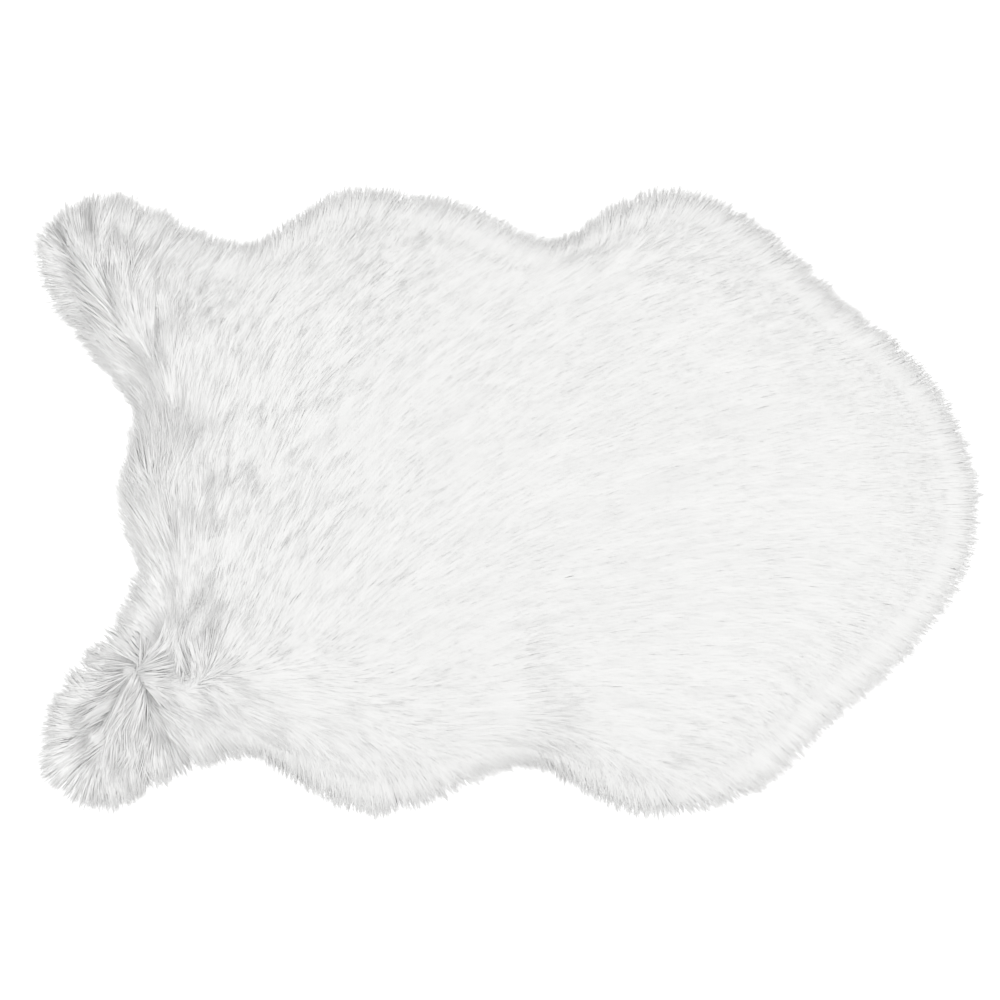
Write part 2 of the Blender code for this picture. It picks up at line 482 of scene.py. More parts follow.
def field_of_slopes(slopes):
    """The field whose slopes come closest to those given at [column, row, value, x or y]."""
    columns, rows = slopes.shape[:2]
    ring = np.concatenate([slopes, slopes[::-1]])
    ring[columns:, ..., 0] *= -1
    ring = np.concatenate([ring, ring[:, ::-1]], axis=1)
    ring[:, rows:, ..., 1] *= -1
    turn_x = 2j * math.pi * np.fft.fftfreq(2 * columns, GRID_STEP)[:, None, None]
    turn_y = 2j * math.pi * np.fft.fftfreq(2 * rows, GRID_STEP)[None, :, None]
    waves = np.fft.fft2(ring, axes=(0, 1))
    square = turn_x**2 + turn_y**2
    square[0, 0] = 1
    waves = (turn_x * waves[..., 0] + turn_y * waves[..., 1]) / square
    return Field(np.fft.ifft2(waves, axes=(0, 1)).real[:columns, :rows])


def heights_of_solid():
    """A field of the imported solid's height over the floor: the lie of the pile."""
    bm = merged_solid()
    tree = BVHTree.FromBMesh(bm)
    bm.free()
    above, down = BOX_HIGH[2] + 100 * MM, Vector((0, 0, -1))

    def heights(points):
        hits = [tree.ray_cast(Vector((x, y, above)), down)[0] for x, y in points]
        return [[hit.z if hit else 0.0] for hit in hits]

    return field_of(heights)


# ---------------------------------------------------------------- the lie of the pile

LIE_SHARPNESS = 3.5  # the power of distance by which nearer places of LIE count for more
GROOMING_SHARPNESS = 3  # and of GROOMING
SOFTENING = 4 * MM  # added to each distance, so that no place stands out as a point
RIM_BAND = 34 * MM  # over this distance from the cut, the lie turns outwards
FAN_SOONER = 1.25  # over 1, it has turned fully a little before the cut
LIE_LOST = 0.65  # this share of the lie is given up where it has turned fully
OVERHANG = 22 * MM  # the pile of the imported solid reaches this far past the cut
DEPTH, OUT, WAY = 0, slice(1, 3), slice(3, 5)  # the columns of the combing


def blended(points, table, columns, sharpness):
    """The table's columns at each point, as a mean weighted towards the nearest rows."""
    places = np.array([[row[1], row[2]] for row in table])
    values = np.array([columns(row) for row in table])
    away = np.linalg.norm(points[:, None] - places[None], axis=2)
    weight = 1 / (away + SOFTENING) ** sharpness
    return weight @ values / weight.sum(axis=1, keepdims=True)


def lie_at(points):
    """The way that the fibres lie at each point, as LIE gives it."""

    def heading(row):
        return math.cos(math.radians(row[3])), math.sin(math.radians(row[3]))

    return unit(blended(points, LIE, heading, LIE_SHARPNESS))


def grooming_at(points):
    """The tousle, clump and fan at each point, as GROOMING gives them."""
    return blended(points, GROOMING, lambda row: row[3:], GROOMING_SHARPNESS).T


def sunk(points):
    """How much lower the pile lies at each point for the creases near it."""
    total = np.zeros(len(points))
    for _, start, end, width, drop, side in CREASES:
        start, way = np.array(start), np.array(end) - np.array(start)
        share = np.clip((points - start) @ way / (way @ way), 0, 1)
        off = points - start - share[:, None] * way
        away = np.linalg.norm(off, axis=1)
        if side == "both":
            total += drop * np.exp(-((away / width) ** 2))
        else:
            right_of = off[:, 0] * way[1] - off[:, 1] * way[0] > 0
            total += drop * smooth(1 - away / width) * right_of
    return total


def combing(line):
    """A field of the depth inside the cut, the way out of it and the lie, which fans out at the rim."""

    def comb(points):
        depth, out = depth_inside(points, line)
        fan = smooth(FAN_SOONER * (1 - depth / RIM_BAND)) * grooming_at(points)[2]
        fan = fan[:, None]
        way = unit(lie_at(points) * (1 - LIE_LOST * fan) + out * fan)
        return np.column_stack([depth, out, way])

    return field_of(comb)


def evenness(points, combed, radius=10 * MM, ways=6):
    """About 1 where all the pile round a point lies one way, down to 0 where it parts or meets."""
    total = np.zeros((len(points), 2))
    for k in range(ways):
        angle = 2 * math.pi * k / ways
        total += combed.at(points + radius * np.array((math.cos(angle), math.sin(angle))))[:, WAY]
    return np.linalg.norm(total, axis=1) / ways


def combed_noise(points, combed, cell, length, rng, step=3 * MM):
    """A random number at each point, as uneven as cell across the lie but drawn out along it."""
    size = GRID_STEP * np.array(combed.values.shape[:2])
    noise = Field(rng.normal(size=(*((size / cell).astype(int) + 2), 1)), cell, smooth)
    total = noise.at(points)[:, 0]
    for onward in (step, -step):
        at = points.copy()
        for _ in range(int(length / 2 / step)):
            at += onward * combed.at(at)[:, WAY]
            total += noise.at(at)[:, 0]
    return total / total.std()


def ripples(points, wavelength, rng, waves=9, shortest=0.7, longest=1.5):
    """A smooth random number from about -1 to 1 at each point, uneven at about that wavelength."""
    total = np.zeros(len(points))
    for _ in range(waves):
        way = rng.uniform(0, 2 * math.pi)
        pitch = 2 * math.pi / (wavelength * rng.uniform(shortest, longest))
        along = points[:, 0] * math.cos(way) + points[:, 1] * math.sin(way)
        total += np.sin(along * pitch + rng.uniform(0, 2 * math.pi))
    return total / math.sqrt(waves)


def scattered(spacing, rng, jitter=0.42):
    """Places on a triangular grid over the rug, each moved at random by up to jitter spacings."""
    rows = np.arange(BOX_LOW[1], BOX_HIGH[1], spacing * math.sqrt(3) / 2)
    columns = np.arange(BOX_LOW[0], BOX_HIGH[0], spacing)
    x, y = np.meshgrid(columns, rows)
    x = x + spacing / 2 * (np.arange(len(rows)) % 2)[:, None]
    points = np.stack([x.ravel(), y.ravel()], axis=1)
    return points + rng.uniform(-jitter, jitter, points.shape) * spacing


# ---------------------------------------------------------------- locks and tufts

# How far the locks stray from the lie where the pile is tousled, as ripples over the rug
STRAY = (
    # wavelength, degrees, the power of the tousle that it also grows with
    (60 * MM, 8, 0),
    (30 * MM, 6, 0),
    (18 * MM, 14, 2),
)
# How unlike one another the locks, tufts and strands are, as standard deviations where the tousle is 1.
# Turn and curl are in degrees, and the rest are shares.
LOCK_SPREAD = {"clump": 0.3, "turn": 5, "length": 0.12, "lift": 0.011, "curl": 18, "tone": 0.15}
TUFT_SPREAD = {"turn": 3, "lift": 0.010, "tone": 0.10, "length": 0.12}
STRAND_SPREAD = {"turn": 3, "lift": 0.0065, "tone": 0.07}

LOCK_CLOSING = 0.43  # a lock closes up by this share for a clump of 1
LOCK_OPEN_AT_RIM = 0.65  # and by this share less at the rim
MOST_LOCK_CLOSING = 0.9  # but never by more than this
TUFT_CLOSING = 0.9  # a tuft closes up by this share of what its lock does
TUFT_CLOSING_AT_RIM = 0.25  # and by this share more at the rim
MOST_TUFT_CLOSING = 0.75  # but never by more than this
STEADY_AT_RIM = 0.8  # a lock's turn is damped by this share at the rim
# Combed pile still varies a little, so the tousle counts as higher by this
COMBED_LENGTHS = 0.2  # for the lengths of locks
COMBED_TUFTS = 0.03  # for tufts
COMBED_STRANDS = 0.02  # for strands


def varied(spread, name, count, rng):
    """Random numbers about 0, with the spread that a table gives under that name."""
    return rng.normal(0, spread[name], count)


def picked(groups, numbers):
    """The values of groups for the numbers given, under the same names."""
    return SimpleNamespace(**{name: values[numbers] for name, values in vars(groups).items()})


def comb_locks(pile, rng):
    """The locks of fibre: where each is rooted and how it is groomed."""
    roots = scattered(pile.lock_spacing, rng)
    count = len(roots)
    tousle, clump, _ = grooming_at(roots)
    stray = sum(
        degrees * ripples(roots, wavelength, rng) * tousle**power
        for wavelength, degrees, power in STRAY
    )
    closing = LOCK_CLOSING * clump * (1 + varied(LOCK_SPREAD, "clump", count, rng))
    return SimpleNamespace(
        lock_root=roots,
        tousle=tousle,
        lock_closing=np.clip(closing, 0, MOST_LOCK_CLOSING),
        turn=np.radians((stray + varied(LOCK_SPREAD, "turn", count, rng)) * tousle),
        length=1 + varied(LOCK_SPREAD, "length", count, rng) * (COMBED_LENGTHS + tousle),
        lift=varied(LOCK_SPREAD, "lift", count, rng) * tousle**2,
        curl=np.radians(varied(LOCK_SPREAD, "curl", count, rng)) * tousle,
        tone=varied(LOCK_SPREAD, "tone", count, rng) * tousle,
    )


def comb_tufts(pile, combed, rng):
    """The small tufts that make the locks, each groomed as its lock is, with a little of its own."""
    locks = comb_locks(pile, rng)
    roots = scattered(pile.tuft_spacing, rng)
    count = len(roots)
    tufts = picked(locks, nearest(locks.lock_root, roots))
    here = combed.at(roots)
    well_in = smooth(here[:, DEPTH] / RIM_BAND)
    unruly = COMBED_TUFTS + tufts.tousle
    tufts.tuft_root = roots
    tufts.out = here[:, OUT]
    tufts.rim = 1 - well_in
    tufts.turn = tufts.turn * (1 - STEADY_AT_RIM * tufts.rim)
    tufts.turn += np.radians(varied(TUFT_SPREAD, "turn", count, rng)) * unruly
    tufts.way = turned(here[:, WAY], tufts.turn)
    closing = TUFT_CLOSING * tufts.lock_closing + TUFT_CLOSING_AT_RIM * tufts.rim
    tufts.tuft_closing = np.clip(closing, 0, MOST_TUFT_CLOSING)
    tufts.lock_closing *= 1 - LOCK_OPEN_AT_RIM * tufts.rim
    tufts.even = evenness(roots, combed)
    tufts.fan = grooming_at(roots)[2]
    tufts.onward = np.clip(dot(lie_at(roots), tufts.out), 0, 1)
    tufts.lift += varied(TUFT_SPREAD, "lift", count, rng) * unruly**2
    tufts.tone += varied(TUFT_SPREAD, "tone", count, rng) * unruly
    tufts.length *= 1 + varied(TUFT_SPREAD, "length", count, rng) * unruly
    return tufts


# ---------------------------------------------------------------- strands

EVEN_SHARE = 0.62  # this share of the strands is spread evenly over the rug
CLOSER = 0.8  # the rest are picked from places that are this many times as far apart
LEAST_UNEVEN = 0.01  # as often as the pile is uneven there, and this often where it is even
MORE_AT_RIM = 0.2  # and oftener by this at the rim

FLYAWAYS = 0.10  # this share of the strands at the rim stray from the rest
FLYAWAY_TURN = 22  # turned by about this many degrees
FLYAWAY_REACH = 5 * MM  # reaching up to this much farther
FLYAWAY_THINNING = 0.4  # and thinner by this share

RIM_TUFT = 4.5 * MM  # at the rim the tips close up into tufts about this wide
RIM_TUFT_REACH = 10.8 * MM  # the middle of a tuft may reach this far past the overhang
RIM_TUFT_SPREAD = 1.5 * MM  # give or take this
ROUNDING = 0.6 * MM  # its sides end this much sooner than its middle
TOUSLED_ROUNDING = 1.3 * MM  # and by this much more where the pile is tousled
MOST_ROUNDING = 1.5  # but by no more than this many times that
RIM_TUFT_CLOSING = (0.1, 0.35)  # a tuft closes up by a share between these
TOUSLED_CLOSING = 0.4  # and by this share more where the pile is tousled
TOUSLED_SOON = 2.5  # this many times the tousle counts as tousled at the rim
ALONG_RIM = 0.5 * MM  # tips are placed along the rim as finely as this
IN_RIM = 0.01  # strands that are less than this at the rim are in none of its tufts

TIP_SPREAD = 3.5 * MM  # single tips end about this much sooner than their tuft
SHORT_AT_RIM = 7 * MM  # and strands rooted at the cut this much sooner still
SHORT_OUTWARDS = 13 * MM  # and this much more where the lie runs outwards and is combed
SHORT_SHARES = (0.4, 1.2)  # each by a share of that between these
SHORT_BAND = 20 * MM  # which fades away over this distance from the cut
SWING_BAND = 26 * MM  # strands rooted this near the cut swing out to the rim where they lie along it
SWING_SHY = 2 * MM  # but by this much less than the overhang
SWING_COUNTS = 0.5  # this share of a swing is taken from the room that a strand has
LEAST_OUTWARD = 0.15  # a strand runs outwards by at least this share, when its room is worked out
LEAST_STRAIGHT = 0.4  # and by at least this share, when it is cut back

RUN_SHARES = (0.8, 1.05)  # a strand runs a share of its length between these
PARTED_RUN = 0.4  # and only this share of it where the pile parts
EVEN_RUN = 0.6  # but this share more where it lies evenly
RIM_RUN = 0.6  # and this share more at the rim
OVER_RIM_RUN = 0.6  # and this share more again where it lies over the strands of the rim
OVER_RIM_FROM = 12 * MM  # which it does fully from this far inside the cut
OVER_RIM_FADE = 48 * MM  # and less and less over this distance
OVER_RIM_END = 1.35  # ending this many times as far inside the cut
LEAST_RUN = 6 * MM  # no strand runs less far than this

CROSSING = 9 * MM  # where the pile parts, a strand starts this far behind its root, across others
CROSSING_SOON = 2.5  # this many times the unevenness counts as parted
SEEN = 0.6  # a strand's middle, as a share of its run: creases and noise are read there
FINE = (1.4 * MM, 40 * MM)  # the fine streaks of the pile: how wide and how long they are
BROAD = (7 * MM, 50 * MM)  # the broad ones
LEANING = (9 * MM, 50 * MM)  # and the ones in how the strands' faces lean

STEPS = (0.0, 0.42, 1.0)  # a strand's root, its widest part and its tip, along its run
LATER = (0.0, 0.14, 0.0)  # and later by this at a tousled rim, where the tips stay full
RISE = (0.966, 0.979, 0.982)  # the height of each, as a share of the lie's height there
SINK = (0.020, 0.003, 0.00)  # and lower by this share where the pile is tousled
RIM_SINK = (0.012, 0.00, 0.00)  # and by this share at the rim, where the fibres fan out over one another
DROP = (0.9, 1.0, 0.8)  # how much of a crease's depth each of them takes
FINE_LIFT = 0.005  # the fine and the broad streaks stand higher by this share
BROAD_LIFT = 0.009
LOCK_FALL = 0.018  # and the sides of a lock lower by this share than its middle
COMBED_LIFT = 0.3  # this share of a strand's own lift stays where the pile is combed
TIPS_LOW = 3 * MM  # the tips of strands rooted at the cut hang this near the floor
TIPS_HIGH = 19 * MM  # and those rooted farther in lie over them, at this height
TIPS_BAND = 14 * MM  # from this far in
TIPS_SHARES = (0.98, 1)  # each at a share of its height between these
FLOOR_GAP = 1.2 * MM  # nothing lies nearer the floor than this

BEND = 1.15  # the power of the steps that a strand runs with, as it leaves its root
CLOSE = 1.1  # the power of the steps that locks and tufts close with
RIM_CLOSE = 1.5  # and the tufts at the rim
MOST_CURL = 0.5  # in radians
CURL_SHARE = 0.5  # a strand strays sideways by this share of its curl

LOCK_ROUND = 0.15  # how far the fibres at a lock's side face sideways
TUFT_ROUND = 0.08  # and those at a tuft's side
STRAND_ROUND = 0.08  # and the flanks of a single strand
FINE_LEAN = 0.12  # how far the fine streaks face sideways
BROAD_LEAN = 0.10  # and the broad ones
RIM_LEAN = 0.3  # and how far the fibres at the rim face outwards
UPRIGHT = 0.5  # this share of each face's direction is straight up, which evens the shading

WIDTH_SHARES = (0.75, 1.2)  # a strand has a share of its width between these
RIM_THINNING = 0.58  # and thinner by this share at the rim
TOUSLED_THICKENING = 0.1  # but by this share less where the rim is tousled
TOUSLED_THINNING = 0.1  # and thinner by this share where the pile is tousled
FINE_TONE = 0.18  # how much lighter or darker the fine streaks are, from 0 to 1
BROAD_TONE = 0.15  # and the broad ones
TONE_ENDS = (0.02, 0.98)  # tones stay between these
FLANK = 0.002  # a strand's flanks lie this far from its middle in its map of tones


def strand_roots(pile, line, combed, rng):
    """Where the strands are rooted: evenly all over, with more at the rim and where the pile parts."""
    spacing = math.sqrt(signed_area(line) / (EVEN_SHARE * pile.strands) * 2 / math.sqrt(3))
    roots = scattered(spacing, rng)
    roots = roots[combed.at(roots)[:, DEPTH] > 0]
    more = scattered(CLOSER * spacing, rng)
    depth = combed.at(more)[:, DEPTH]
    more, depth = more[depth > 0], depth[depth > 0]
    weight = np.clip(1 - evenness(more, combed), LEAST_UNEVEN, 1)
    weight += MORE_AT_RIM * smooth(1 - depth / RIM_BAND)
    chosen = np.argsort(rng.exponential(size=len(more)) / weight)[: pile.strands - len(roots)]
    return np.concatenate([roots, more[chosen]])


def root_strands(pile, line, combed, rng):
    """The strands at their roots, each groomed as its tuft is and a few at the rim astray."""
    tufts = comb_tufts(pile, combed, rng)
    roots = strand_roots(pile, line, combed, rng)
    count = len(roots)
    fur = picked(tufts, nearest(tufts.tuft_root, roots))
    fur.root = roots
    fur.depth = combed.at(roots)[:, DEPTH]
    fur.astray = (rng.random(count) < FLYAWAYS) * fur.rim
    turn = varied(STRAND_SPREAD, "turn", count, rng)
    turn += fur.astray * rng.normal(0, FLYAWAY_TURN, count)
    fur.way = turned(fur.way, np.radians(turn))
    fur.side = left_of(fur.way)
    fur.in_lock = fur.tuft_root - fur.lock_root
    fur.in_tuft = roots - fur.tuft_root
    fur.across_lock = dot(fur.in_lock, fur.side) / (0.5 * pile.lock_spacing)
    fur.across_tuft = dot(fur.in_tuft, fur.side) / (0.5 * pile.tuft_spacing)
    return fur


def rim_tufts(tips, tousle, line, rng):
    """For tips at the rim: the move along it that closes each tuft, and how far past it they reach."""
    fine_line, along, whole = walk_round(line, ALONG_RIM)
    here = nearest(fine_line, tips)
    tangent = unit(np.roll(fine_line, -2, axis=0) - np.roll(fine_line, 2, axis=0))
    count = int(whole / RIM_TUFT)
    edges = np.sort((np.arange(count) + rng.uniform(-0.5, 0.5, count)) * RIM_TUFT)
    tuft = np.clip(np.searchsorted(edges, along[here]), 1, count - 1)
    off = (edges[tuft - 1] + edges[tuft]) / 2 - along[here]
    tufty = smooth(TOUSLED_SOON * tousle)
    rounding = np.minimum((off / (RIM_TUFT / 2)) ** 2, MOST_ROUNDING)
    reach = rng.normal(RIM_TUFT_REACH, RIM_TUFT_SPREAD, count)[tuft]
    reach -= (ROUNDING + TOUSLED_ROUNDING * tufty) * rounding
    closing = rng.uniform(*RIM_TUFT_CLOSING, count)[tuft] + TOUSLED_CLOSING * tufty
    return tangent[here] * (closing * off)[:, None], reach


def reach_rim(fur, line, rng):
    """How each strand ends at the rim: its tuft's closing, its reach, its swing and its room to run."""
    count = len(fur.root)
    outward = np.clip(dot(fur.way, fur.out), LEAST_OUTWARD, 1)
    rim = np.flatnonzero(fur.rim > IN_RIM)
    tips = fur.root[rim] + fur.way[rim] * ((fur.depth + OVERHANG) / outward)[rim, None]
    fur.closing, reach = np.zeros((count, 2)), np.zeros(count)
    fur.closing[rim], reach[rim] = rim_tufts(tips, fur.tousle[rim], line, rng)
    fur.beyond = reach - np.abs(rng.normal(0, TIP_SPREAD, count))
    fur.beyond += fur.astray * rng.uniform(0, FLYAWAY_REACH, count)
    short = SHORT_AT_RIM + SHORT_OUTWARDS * fur.onward * (1 - fur.tousle)
    short *= rng.uniform(*SHORT_SHARES, count)
    fur.beyond -= short * (1 - smooth(fur.depth / SHORT_BAND))
    along_rim = (1 - fur.fan) * smooth(1 - fur.depth / SWING_BAND)
    fur.swing = along_rim * (OVERHANG - SWING_SHY + reach)
    fur.room = (fur.depth + OVERHANG + fur.beyond - SWING_COUNTS * fur.swing) / outward


def run_on(pile, fur, combed, rng):
    """How far each strand runs: less where the pile parts, more over the rim, and never past it."""
    run = pile.run * fur.length * rng.uniform(*RUN_SHARES, len(fur.root))
    run *= PARTED_RUN + EVEN_RUN * fur.even**2 + RIM_RUN * fur.rim
    over_rim = smooth(fur.depth / OVER_RIM_FROM)
    over_rim *= smooth(OVER_RIM_END - fur.depth / OVER_RIM_FADE)
    run *= 1 + OVER_RIM_RUN * over_rim
    run = np.minimum(run, np.maximum(fur.room, LEAST_RUN))
    there = combed.at(fur.root + fur.way * run[:, None] + fur.out * fur.swing[:, None])
    past = np.maximum(-there[:, DEPTH] - OVERHANG - fur.beyond, 0)
    straight = np.clip(dot(fur.way, there[:, OUT]), LEAST_STRAIGHT, 1)
    fur.run = np.maximum(run - past / straight, LEAST_RUN)
    fur.seen = fur.root + fur.way * (SEEN * fur.run)[:, None]


def lay_strands(fur, top, rng):
    """Each strand's root, widest part and tip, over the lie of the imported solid."""
    count = len(fur.root)
    unruly = COMBED_STRANDS + fur.tousle
    streaks = FINE_LIFT * fur.fine + BROAD_LIFT * fur.broad - LOCK_FALL * fur.across_lock**2
    lift = 1 + fur.lift + streaks * unruly
    own_lift = COMBED_LIFT + (1 - COMBED_LIFT) * fur.tousle
    lift *= 1 + varied(STRAND_SPREAD, "lift", count, rng) * own_lift
    farther_in = smooth(fur.depth / TIPS_BAND) * rng.uniform(*TIPS_SHARES, count)
    lowest = TIPS_LOW + (TIPS_HIGH - TIPS_LOW) * farther_in
    drop = sunk(fur.seen)
    behind = CROSSING * np.clip(CROSSING_SOON * (1 - fur.even), 0, 1)
    curl = CURL_SHARE * np.tan(np.clip(fur.curl, -MOST_CURL, MOST_CURL))

    points = np.zeros((count, len(STEPS), 3))
    for k in range(len(STEPS)):
        s = STEPS[k] + LATER[k] * fur.rim * fur.tousle
        along = fur.run * s**BEND
        xy = (
            fur.lock_root
            + fur.in_lock * (1 - fur.lock_closing * s**CLOSE)[:, None]
            + fur.in_tuft * (1 - fur.tuft_closing * s**CLOSE)[:, None]
            + fur.way * (along - behind)[:, None]
            + fur.side * (along * s * curl)[:, None]
            + fur.closing * (fur.rim * s**RIM_CLOSE)[:, None]
            + fur.out * (fur.swing * min(k, 1))[:, None]
        )
        share = RISE[k] - SINK[k] * fur.tousle - RIM_SINK[k] * fur.rim
        height = np.maximum(top.at(xy)[:, 0] * share * lift, lowest) - drop * DROP[k]
        points[:, k, :2] = xy
        points[:, k, 2] = np.maximum(height, FLOOR_GAP)
    return points


def lean_of(fur, combed, rng):
    """How far each strand's face leans over, to the sides of its lock and tuft and out at the rim."""
    lean = LOCK_ROUND * fur.across_lock + TUFT_ROUND * fur.across_tuft
    lean += FINE_LEAN * combed_noise(fur.seen, combed, *FINE, rng)
    lean += BROAD_LEAN * combed_noise(fur.seen, combed, *LEANING, rng)
    lean *= COMBED_STRANDS + fur.tousle
    return fur.side * lean[:, None] + fur.out * (RIM_LEAN * fur.rim)[:, None]


def grow_strands(pile, line, top, rng):
    """Every strand's three points, half-width, tone and the lean of its face."""
    combed = combing(line)
    fur = root_strands(pile, line, combed, rng)
    reach_rim(fur, line, rng)
    run_on(pile, fur, combed, rng)
    fur.fine = combed_noise(fur.seen, combed, *FINE, rng)
    fur.broad = combed_noise(fur.seen, combed, *BROAD, rng)
    points = lay_strands(fur, top, rng)
    lean = lean_of(fur, combed, rng)

    count = len(points)
    width = pile.strand_width / 2 * rng.uniform(*WIDTH_SHARES, count)
    width *= 1 - (RIM_THINNING - TOUSLED_THICKENING * fur.tousle) * fur.rim
    width *= (1 - TOUSLED_THINNING * fur.tousle) * (1 - FLYAWAY_THINNING * fur.astray)
    tone = 0.5 + fur.tone + FINE_TONE * fur.fine + BROAD_TONE * fur.broad
    tone += varied(STRAND_SPREAD, "tone", count, rng)
    return points, width, np.clip(tone, *TONE_ENDS), lean


def strand_mesh(name, points, width, tone, lean):
    """One joined mesh of closed strands. Each is a spindle: a root, a ring of three and a tip."""
    count = len(points)
    ahead = unit(points[:, 2] - points[:, 0])
    side = unit(np.cross(ahead, (0.0, 0.0, 1.0)))
    over = np.cross(side, ahead)
    facing = (1 - UPRIGHT) * over + np.column_stack([lean, np.full(count, UPRIGHT)])
    ring = ((-1.0, -0.10), (0.0, 0.28), (1.0, -0.10))  # across and up, in half-widths

    verts = np.zeros((count, 5, 3))
    normals = np.repeat(facing[:, None], 5, axis=1)
    uv = np.zeros((count, 5, 2))
    uv[:, :, 0] = tone[:, None]
    # the second coordinate runs from root to tip, for the painted shade at the roots
    uv[:, :, 1] = (STEPS[0], STEPS[1], STEPS[1], STEPS[1], STEPS[2])
    verts[:, 0], verts[:, 4] = points[:, 0], points[:, 2]
    for corner, (across, up) in enumerate(ring, start=1):
        verts[:, corner] = points[:, 1] + (side * across + over * up) * width[:, None]
        normals[:, corner] += side * across * STRAND_ROUND
        uv[:, corner, 0] += across * FLANK
    normals /= np.linalg.norm(normals, axis=2, keepdims=True)

    faces = np.array([(0, 2, 1), (0, 3, 2), (0, 1, 3), (4, 1, 2), (4, 2, 3), (4, 3, 1)])
    loops = (faces[None] + 5 * np.arange(count)[:, None, None]).ravel()
    mesh = bpy.data.meshes.new(name)
    mesh.vertices.add(5 * count)
    mesh.vertices.foreach_set("co", verts.ravel())
    mesh.loops.add(len(loops))
    mesh.loops.foreach_set("vertex_index", loops)
    mesh.polygons.add(len(loops) // 3)
    mesh.polygons.foreach_set("loop_start", np.arange(0, len(loops), 3))
    mesh.update(calc_edges=True)
    layer = mesh.uv_layers.new(name="OFBake")
    layer.uv.foreach_set("vector", uv.reshape(-1, 2)[loops].ravel())
    mesh.shade_smooth()
    mesh.normals_split_custom_set_from_vertices(normals.reshape(-1, 3))
    return mesh


def fibre_material(pile):
    """White modacrylic pile fibre, spun, cut and combed.

    The eye gets near white, a soft broad shine along the fibres, roots a shade darker than tips,
    which is painted shade deep in the pile, and streaks, because each strand has a tone of its own.
    """
    material, tree, shader = new_material("combed_modacrylic_pile")
    map_node = add_node(tree, "ShaderNodeUVMap", {}, uv_map="OFBake")
    parts = add_node(tree, "ShaderNodeSeparateXYZ", {"Vector": map_node.outputs["UV"]})
    tone = add_node(
        tree,
        "ShaderNodeMapRange",
        {"Value": parts.outputs["X"], "To Min": 0.935, "To Max": 1.0},
    )
    # the colour runs from the darker root colour, painted shade deep in the pile, to the tip colour
    body = add_node(
        tree,
        "ShaderNodeMix",
        {"Factor": parts.outputs["Y"], "A": pile.root_colour_with_painted_shade, "B": pile.tip_colour},
        data_type="RGBA",
    )
    tone_and_root_shade = add_node(
        tree,
        "ShaderNodeVectorMath",
        {0: body.outputs["Result"], "Scale": tone.outputs["Result"]},
        operation="SCALE",
    )
    tree.links.new(tone_and_root_shade.outputs["Vector"], shader.inputs["Base Color"])
    shader.inputs["Roughness"].default_value = 0.6
    shader.inputs["Specular IOR Level"].default_value = 0.3
    return material


class RUG_OT_pile(bpy.types.Operator):
    """Grow the pile in combed locks over the whole ground cloth"""

    bl_idname = "rug.pile"
    bl_label = "Grow the pile"

    pieces = ("legs", "back", "middle", "front", "round_end")

    def execute(self, context):
        pile = context.scene.rug_pile
        rng = np.random.default_rng(SEED)
        strands = grow_strands(pile, cut_line(), heights_of_solid(), rng)
        material = fibre_material(pile)
        along_rug = np.argsort(strands[0][:, 0, 0])
        for name, rows in zip(self.pieces, np.array_split(along_rug, len(self.pieces))):
            mesh = strand_mesh("pile_" + name, *(values[rows] for values in strands))
            add_piece(context.scene, mesh, material)
        return {"FINISHED"}


# ---------------------------------------------------------------- underfur

UNDERFUR_SHARE = 0.955  # the dense underfur stands this share of the pile's height
UNDERFUR_SINK = 0.02  # and lower by this share where the pile is tousled
UNDERFUR_LOW = 0.08  # and by this share at the rim
UNDERFUR_LOW_BAND = 50 * MM  # which fades away over this distance from the tips
UNDERFUR_SHORT = 12 * MM  # it ends this far short of the tips at the rim
UNDERFUR_SHORT_BAND = 62 * MM  # which fades away over this distance from them
CREASED_ABOVE = 12 * MM  # creases cut into it where it is higher than this
CREASED_DEEPER = 1.15  # by this many times their depth, so that it stays under the strands
IN_CLOTH = 1 * MM  # its flat underside lies this high, inside the ground cloth
STREAK_LENGTH = 30 * MM  # the streaks of its fibre, which are real for length
STREAK_WIDTH = 0.9 * MM  # but too fine to show, so they are drawn as coarse as the strands


def lie_coordinates(combed):
    """A field of two lengths that grow along the lie and across it, for patterns that follow it."""
    way = combed.values[:, :, WAY]
    return field_of_slopes(np.stack([way, left_of(way)], axis=2))


def underfur_mesh(line):
    """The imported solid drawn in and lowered: the dense body of fibre just under the combed strands."""
    bm = merged_solid()
    bmesh.ops.subdivide_edges(bm, edges=bm.edges, cuts=1, use_grid_fill=True)
    bm.verts.index_update()
    points = np.array([v.co for v in bm.verts])
    depth, out = depth_inside(points[:, :2], line)
    from_tips = depth + OVERHANG
    short = UNDERFUR_SHORT * (1 - smooth(from_tips / UNDERFUR_SHORT_BAND))
    lowered = UNDERFUR_LOW * (1 - smooth(from_tips / UNDERFUR_LOW_BAND))
    points[:, :2] -= out * short[:, None]
    tousle = grooming_at(points[:, :2])[0]
    points[:, 2] *= UNDERFUR_SHARE - UNDERFUR_SINK * tousle - lowered
    creases = CREASED_DEEPER * np.maximum(sunk(points[:, :2]), 0)
    points[:, 2] -= np.where(points[:, 2] > CREASED_ABOVE, creases, 0)
    points[:, 2] += IN_CLOTH * (points[:, 2] < IN_CLOTH)
    for vert, place in zip(bm.verts, points):
        vert.co = place
    lie = lie_coordinates(combing(line)).at(points[:, :2])
    layer = bm.loops.layers.uv.new("lie")
    for face in bm.faces:
        for loop in face.loops:
            loop[layer].uv = lie[loop.vert.index]
    mesh = bpy.data.meshes.new("underfur")
    bm.to_mesh(mesh)
    bm.free()
    mesh.shade_smooth()
    return mesh


